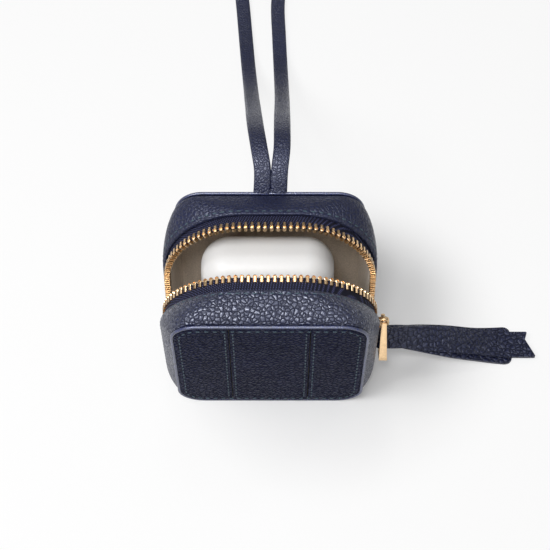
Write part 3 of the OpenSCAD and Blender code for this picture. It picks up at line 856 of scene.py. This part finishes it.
class POUCH_OT_base_strip(Operator):
    """Leather strip under the zip ends, between the two halves"""
    bl_idname = "pouch.base_strip"
    bl_label = "Base strip"

    def execute(self, context):
        size = context.scene.pouch_sizes
        edge = size.leather_edge - 0.1 * MM
        half = size.zip_w / 2
        outer = self.path(size, half, 0)
        inner = self.path(size, half, size.leather_t)
        outs = [edge * k / 10 for k in range(-10, 11)]
        rings = []
        for a, b in zip(outer, inner):
            rings.append([self.point(a, s) for s in outs] + [self.point(b, s) for s in reversed(outs)])
        fold = folding(edge * cos(TILT))
        lofted("base_leather_strip", rings, "pebbled_navy", fold, ["base_gusset"], 50)
        return {"FINISHED"}

    def path(self, size, half, inset):
        r = size.zip_bottom_r
        points = [(-half + inset, mix(size.strip_top, r, k / 3)) for k in range(3)]
        for cx, start in ((-half + r, 180), (half - r, 270)):
            for i in range(15):
                a = radians(start + 90 * i / 14)
                points.append((cx + (r - inset) * cos(a), r + (r - inset) * sin(a)))
            if start == 180:
                points += [(mix(-half + r, half - r, k / 12), inset) for k in range(1, 12)]
        points += [(half - inset, mix(r, size.strip_top, k / 3)) for k in range(1, 4)]
        return points

    def point(self, place, s):
        share = 0.5 + 0.5 * s / max(abs(s), 1.2 * MM)
        front = half_place(FRONT, place[0], -s, place[1])
        rear = half_place(REAR, place[0], s, place[1])
        return front.lerp(rear, ease(share))


class POUCH_OT_linings(Operator):
    """Cloth trays inside the halves, a little creased"""
    bl_idname = "pouch.linings"
    bl_label = "Linings"

    def execute(self, context):
        size = context.scene.pouch_sizes
        floor = 15.95 * MM
        cloth = 0.7 * MM
        inset = 2 * MM
        for side, word, body in HALVES:
            rings = []
            for k in range(13):
                rings.append(self.ring(size, side, mix(floor, LINING_RIM, k / 12), inset, 0))
            for k in range(12, -1, -1):
                out = mix(floor - cloth, LINING_RIM, k / 12)
                rings.append(self.ring(size, side, out, inset + cloth, k / 12))
            lofted(
                word + "_cloth_lining", rings, "creased_taupe", body, [word + "_lining"], 40)
        return {"FINISHED"}

    def ring(self, size, side, out, inset, crease):
        tape_out = size.leather_edge + TAPE_UNDER + 0.1 * MM
        t = min(1.0, (size.gusset_out - out) / (size.gusset_out - tape_out))
        points = []
        for x, up in round_points(wall_shape(t, inset), 14, 14):
            pull = 0.0
            if crease > 0 and up > 14 * MM:
                wave = sin(x * 620 + up * 260) + 0.6 * sin(x * 1300 - up * 190 + 1.3)
                pull = 0.14 * MM * (wave + 1.6) * sin(pi * crease)
            share = 1 - pull / (size.zip_w / 2)
            points.append(half_place(side, x * share, out, up * share))
        return points


class POUCH_OT_zip(Operator):
    """Woven tapes and metal teeth, with the rows that run down into the slider"""
    bl_idname = "pouch.zip"
    bl_label = "Zip"

    def execute(self, context):
        size = context.scene.pouch_sizes
        self.half = size.zip_w / 2
        self.left_l = size.zip_top - size.zip_top_r - size.tooth_end
        right_l = size.zip_top - size.zip_top_r - size.tooth_start
        self.arc_l = size.zip_top_r * pi / 2
        self.top_l = size.zip_w - 2 * size.zip_top_r
        self.row_l = self.left_l + right_l + 2 * self.arc_l + self.top_l
        tooth = self.tooth_pattern(size)
        for side, word, body in HALVES:
            self.tape(size, side, word, body)
            self.teeth(size, side, word, body, 0.5 if side == REAR else 0.0, tooth)
        self.leads(size, tooth)
        return {"FINISHED"}

    def place_at(self, size, u):
        """Across, up and outward turn at a length along the zip"""
        across = u - self.left_l - self.arc_l - self.top_l / 2
        side = 1 if across > 0 else -1
        past = abs(across) - self.top_l / 2
        r = size.zip_top_r
        if past < 0:
            return (across, size.zip_top, 0)
        if past < self.arc_l:
            a = past / r
            return (side * (self.top_l / 2 + r * sin(a)), size.zip_top - r + r * cos(a), side * a)
        return (side * self.half, size.zip_top - r - (past - self.arc_l), side * pi / 2)

    def tape(self, size, side, word, body):
        first = size.tooth_tip + size.tooth_l - 1.85 * MM
        last = size.leather_edge + TAPE_UNDER
        t = size.tape_t / 2
        section = [(first, 0), (first + 0.1 * MM, t), (first + 0.9 * MM, t)]
        section += [(mix(first + 1.2 * MM, last, k / 5), 0.85 * t) for k in range(6)]
        section += [(s, -q) for s, q in reversed(section[1:])]
        rings = []
        count = 150
        slack = size.tooth_pitch / 2
        for i in range(count + 1):
            x, up, a = self.place_at(size, mix(-slack, self.row_l + slack, i / count))
            ring = []
            for s, q in section:
                depth = size.tape_mid - q
                ring.append(half_place(side, x - depth * sin(a), s, up - depth * cos(a)))
            rings.append(ring)
        lofted(word + "_woven_tape", rings, "woven_tape", body, [word + "_zip_tape"], 50)

    def tooth_pattern(self, size):
        """One tooth: a dimpled round head and a shank, x along the row, y from tip to tape, z outwards"""
        bm = bmesh.new()
        t = size.tooth_t / 2
        made = bmesh.ops.create_circle(bm, cap_ends=True, segments=8, radius=size.tooth_head_r)
        lifted = extrude(bm, [made["verts"][0].link_faces[0]], (0, 0, t))
        bmesh.ops.translate(bm, vec=(0, 0, -t), verts=[v for v in bm.verts if v not in lifted])
        rims = [e for e in bm.edges if abs(e.verts[0].co.z - e.verts[1].co.z) < 1e-7]
        bevel(bm, rims, 0.16 * MM, 1)
        tops = [f for f in bm.faces if len(f.verts) == 8]
        bmesh.ops.inset_individual(bm, faces=tops, thickness=0.17 * MM, depth=-0.3 * MM)
        bmesh.ops.translate(bm, vec=(0, size.tooth_tip + size.tooth_head_r, 0), verts=bm.verts[:])
        y0 = size.tooth_tip + 1.1 * size.tooth_head_r
        y1 = size.tooth_tip + size.tooth_l
        shank = bmesh.ops.create_cube(bm, size=1)["verts"]
        bmesh.ops.scale(bm, vec=(MM, y1 - y0, size.tooth_t - 0.1 * MM), verts=shank)
        bmesh.ops.translate(bm, vec=(0, (y0 + y1) / 2, 0), verts=shank)
        edges = {e for v in shank for e in v.link_edges}
        bevel(bm, [e for e in edges if abs(e.verts[0].co.y - e.verts[1].co.y) > MM], 0.2 * MM, 1)
        bmesh.ops.recalc_face_normals(bm, faces=bm.faces[:])
        return mesh_of("tooth_pattern", bm)

    def tooth_place(self, side, x, up, a, depth, shift=0.0):
        """Place of a tooth, moved towards the zip's middle plane by a shift"""
        middle = half_place(side, x - depth * sin(a), -shift, up - depth * cos(a))
        zero = half_place(side, 0, 0, 0)
        tip = (half_place(side, 0, 1, 0) - zero).normalized()
        outward = half_place(side, sin(a), 0, cos(a)) - zero
        return columns(tip.cross(outward).normalized(), tip, outward, middle)

    def teeth(self, size, side, word, body, shift, tooth):
        count = int(self.row_l / size.tooth_pitch)
        start = (self.row_l - (count - 1) * size.tooth_pitch) / 2 + (shift - 0.25) * size.tooth_pitch
        places = []
        for i in range(count):
            x, up, a = self.place_at(size, start + i * size.tooth_pitch)
            places.append(self.tooth_place(side, x, up, a, size.tape_mid))
        stands_for = [word + "_zip_teeth"]
        scattered(word + "_metal_teeth", tooth, places, "polished_gold", body, stands_for, 30)

    def lead_shift(self, size, up):
        """How far a row has run towards the middle plane at a height on the slider's side"""
        share = ease((size.tooth_start - up) / (size.tooth_start - size.slider_top + 0.8 * MM))
        return share * (up * tan(TILT) - 0.35 * MM)

    def leads(self, size, tooth):
        """Rows and tape between the CAD rows' ends, the slider and the base strip"""
        fold = folding(size.leather_edge * cos(TILT) + size.strip_top * sin(TILT))
        places = []
        for side, offset in ((REAR, 0.0), (FRONT, 0.5)):
            for k in range(1, 4):
                up = size.tooth_start - (k + offset - 0.75) * size.tooth_pitch
                if up < size.slider_top - 0.5 * MM:
                    continue
                shift = self.lead_shift(size, up)
                places.append(self.tooth_place(side, self.half, up, pi / 2, size.tape_mid, shift))
        scattered("lead_metal_teeth", tooth, places, "polished_gold", fold, sharp=30)
        bm = bmesh.new()
        for side in (REAR, FRONT):
            self.lead_tape(bm, size, side, 1, size.tooth_start - size.tooth_pitch / 2)
            self.lead_tape(bm, size, side, -1, size.tooth_end - size.tooth_pitch / 2)
        piece("lead_woven_tape", bm, "woven_tape", fold, ["zip_tails"], 50)

    def lead_tape(self, bm, size, side, hand, top):
        first = size.tooth_tip + size.tooth_l - 1.05 * MM
        last = size.leather_edge + TAPE_UNDER - 0.1 * MM
        t = 0.42 * size.tape_t
        x = hand * (self.half - size.tape_mid)
        rings = []
        count = 24
        for i in range(count + 1):
            up = mix(top + 0.3 * MM, size.strip_top - 3 * MM, i / count)
            shift = up * tan(TILT)
            if hand > 0:
                closed = ease((size.tooth_start - up) / (9 * MM))
                if up > size.slider_top - 0.8 * MM:
                    shift = self.lead_shift(size, up)
            else:
                closed = ease((top - up) / (3 * MM))
                shift *= closed
            inner = mix(first, 0.12 * MM, closed) - shift
            ring = [half_place(side, x + t, mix(inner, last, k / 6), up) for k in range(7)]
            ring += [half_place(side, x - t, mix(inner, last, k / 6), up) for k in range(6, -1, -1)]
            rings.append(ring)
        loft(bm, rings)


class POUCH_OT_slider(Operator):
    """Slider, crown, ring and end stops with their edges rounded"""
    bl_idname = "pouch.slider"
    bl_label = "Slider and ring"

    def execute(self, context):
        rounds = {
            "slider_body": ("slider", 0.22),
            "slider_crown": ("slider", 0.2),
            "pull_ring": ("pull_ring", 0.22),
            "zip_stops": ("zip_ends", 0.12),
        }
        for name, (body, radius) in rounds.items():
            bm = merged_copy(name)
            soften(bm, radius * MM)
            piece("polished_" + name, bm, "polished_gold", body, [name], 40)
        return {"FINISHED"}


class POUCH_OT_pull(Operator):
    """Leather pull: one strip folded round the ring, with a swallowtail end over a rounded one"""
    bl_idname = "pouch.pull"
    bl_label = "Leather pull"

    def execute(self, context):
        size = context.scene.pouch_sizes
        joint = next(j for j in frame["record"]["behaviour"]["joints"] if j["name"] == "pull_tab_swing")
        self.leg = Vector(joint["axis"])
        self.roll = atan2(self.leg.y, self.leg.z)
        self.skew = 1 * MM
        leg_end = 12.65 * MM
        self.root = Vector(joint["pos_m"]) - self.leg * (leg_end - self.skew - size.tab_w / 2)
        self.fold_r = 1.0 * MM + size.tab_t / 2
        self.bend_l = pi / 2 * self.fold_r
        self.start = 3 * MM
        self.under_l = size.tab_l - size.tab_step
        lanes = [-1, -0.97, -0.9, -0.8, -0.63, -0.3, 0, 0.38, 0.63, 0.8, 0.9, 0.97, 1]
        bm = bmesh.new()
        bmesh.ops.create_grid(bm, x_segments=110, y_segments=len(lanes) - 1, size=1)
        for vert in bm.verts:
            v = lanes[round((vert.co.y + 1) / 2 * (len(lanes) - 1))]
            first = -(self.bend_l + size.tab_l - self.tail_cut(v))
            last = self.bend_l + self.under_l - self.round_cut(size, v)
            vert.co = (mix(first, last, (vert.co.x + 1) / 2), v, 0)
        extrude(bm, bm.faces[:], (0, 0, 1))
        for vert in bm.verts:
            vert.co = self.bent(size, vert.co.x, vert.co.y, vert.co.z - 0.5)
        bmesh.ops.recalc_face_normals(bm, faces=bm.faces[:])
        soften(bm, 0.3 * MM, 50)
        piece("leather_pull", bm, "pull_navy", "pull_tab", ["pull_tab"], 50)
        self.bar_stitches(size)
        return {"FINISHED"}

    def tail_cut(self, v):
        """Setback of the swallowtail across the strip"""
        stops = ((-1, 0.5), (-0.97, 0.1), (-0.9, 0), (0.38, 3.1), (0.9, 2.3), (0.97, 2.35), (1, 2.6))
        for (v0, c0), (v1, c1) in zip(stops, stops[1:]):
            if v <= v1:
                return mix(c0, c1, (v - v0) / (v1 - v0)) * MM
        return stops[-1][1] * MM

    def round_cut(self, size, v):
        """Setback of the rounded end's corners across the strip"""
        r = 2.9 * MM
        reach = max(0.0, abs(v) * size.under_w / 2 - (size.under_w / 2 - r))
        return r - sqrt(max(0.0, r * r - reach * reach))

    def bent(self, size, u, v, w):
        """Place of a point of the flat strip: along, across as a share, and out of the leather as a share"""
        if abs(u) <= self.bend_l:
            a = pi / 2 * (1 + u / self.bend_l)
            front = Vector((0, -cos(self.roll), sin(self.roll)))
            outward = cos(a) * front - sin(a) * Vector((1, 0, 0))
            along_leg = v * size.tab_w / 2 - self.skew * a / pi
            return self.root + outward * (self.fold_r + w * size.tab_t) + self.leg * along_leg
        x = abs(u) - self.bend_l
        lower = u > 0
        share = clamp((x - self.start) / (self.under_l - self.start))
        turn = mix(self.roll, pi / 2, ease(share / 0.75))
        across = Vector((0, sin(turn), cos(turn)))
        upward = Vector((0, -cos(turn), sin(turn)))
        close = 1.25 * size.tab_t
        fall = self.root.z - (close + size.tab_t) / 2 - 0.05 * MM
        middle = self.root + Vector((x, 3.9 * MM * ease(share), -fall * ease(share)))
        apart = mix(2 * self.fold_r, close, ease(share / 0.15))
        width = mix(size.tab_w, size.tail_w, share)
        if lower:
            width += (size.under_w - size.tail_w) * share
            middle += across * mix(-self.skew, 0.5 * MM, share)
        side = -1 if lower else 1
        middle += upward * (side * apart / 2)
        return middle + across * (v * width / 2) + upward * (side * w * size.tab_t)

    def bar_stitches(self, size):
        """Short row of stitches that closes the fold"""
        u = -(self.bend_l + 5.5 * MM)
        points = [self.bent(size, u, v, 0.5) for v in (-0.6, 0.6)]
        normal = (points[0] - self.bent(size, u, -0.6, -0.5)).normalized()
        places = stitch_places(points, [normal, normal], 2.2 * MM)
        scattered("pull_stitches", stitch_pattern(2.0, 0.45, 0.3), places, "woven_tape", "pull_tab")


class POUCH_OT_charging_case(Operator):
    """Smooth white charging case: base and lid with a fine seam"""
    bl_idname = "pouch.charging_case"
    bl_label = "Charging case"

    def execute(self, context):
        size = context.scene.pouch_sizes
        stand = 3 * MM
        side_s = max(0, LINING_RIM - size.bud_back - size.bud_d / 2 + size.bud_r)
        lift = stand - size.bud_r + sqrt(size.bud_r ** 2 - side_s ** 2)
        seam = lift + size.bud_seam_h
        for name, keep in (("charging_case_base", 1), ("charging_case_lid", -1)):
            bm = bmesh.new()
            bmesh.ops.create_cube(bm, size=1)
            bmesh.ops.scale(bm, vec=(size.bud_w, size.bud_d, size.bud_h), verts=bm.verts[:])
            middle = (size.bud_shift, size.bud_back, lift + size.bud_h / 2)
            bmesh.ops.translate(bm, vec=middle, verts=bm.verts[:])
            bevel(bm, bm.edges[:], size.bud_r, 14)
            cut = cut_off(bm, (0, 0, seam - keep * 0.1 * MM), (0, 0, keep))
            rim = [e for e in cut["geom_cut"] if isinstance(e, bmesh.types.BMEdge)]
            filled = bmesh.ops.contextual_create(bm, geom=rim)
            bevel(bm, [e for f in filled["faces"] for e in f.edges], 0.25 * MM, 2)
            into_half(bm, REAR)
            piece("moulded_" + name, bm, "moulded_white", "rear_half", [name], 40)
        return {"FINISHED"}


class POUCH_OT_hidden_parts(Operator):
    """Finishes for the boards and the lid's hinge, which keep their own shapes"""
    bl_idname = "pouch.hidden_parts"
    bl_label = "Boards and hinge"

    def execute(self, context):
        looks = {
            "rear_board": "pressed_board", "front_board": "pressed_board",
            "charging_case_hinge": "brushed_steel"}
        for name, look in looks.items():
            for slot in frame["nodes"][name].material_slots:
                slot.material = finish(look)
        return {"FINISHED"}


STEPS = (
    POUCH_OT_stage, POUCH_OT_wrist_strap, POUCH_OT_walls, POUCH_OT_panels, POUCH_OT_piping,
    POUCH_OT_base_strip, POUCH_OT_linings, POUCH_OT_zip, POUCH_OT_slider, POUCH_OT_pull,
    POUCH_OT_charging_case, POUCH_OT_hidden_parts)


class POUCH_PT_panel(Panel):
    """Steps that dress the pouch"""
    bl_label = "Earbuds pouch"
    bl_idname = "POUCH_PT_panel"
    bl_space_type = "VIEW_3D"
    bl_region_type = "UI"
    bl_category = "Pouch"

    def draw(self, context):
        for step in STEPS:
            self.layout.operator(step.bl_idname)


CLASSES = (PouchSizes, PouchColours, *STEPS, POUCH_PT_panel)


def register():
    for cls in CLASSES:
        bpy.utils.register_class(cls)
    bpy.types.Scene.pouch_sizes = bpy.props.PointerProperty(type=PouchSizes)
    bpy.types.Scene.pouch_colours = bpy.props.PointerProperty(type=PouchColours)


def unregister():
    del bpy.types.Scene.pouch_colours
    del bpy.types.Scene.pouch_sizes
    for cls in reversed(CLASSES):
        bpy.utils.unregister_class(cls)


def main():
    register()
    for step in STEPS:
        group, name = step.bl_idname.split(".")
        getattr(getattr(bpy.ops, group), name)()


if __name__ == "__main__":
    main()
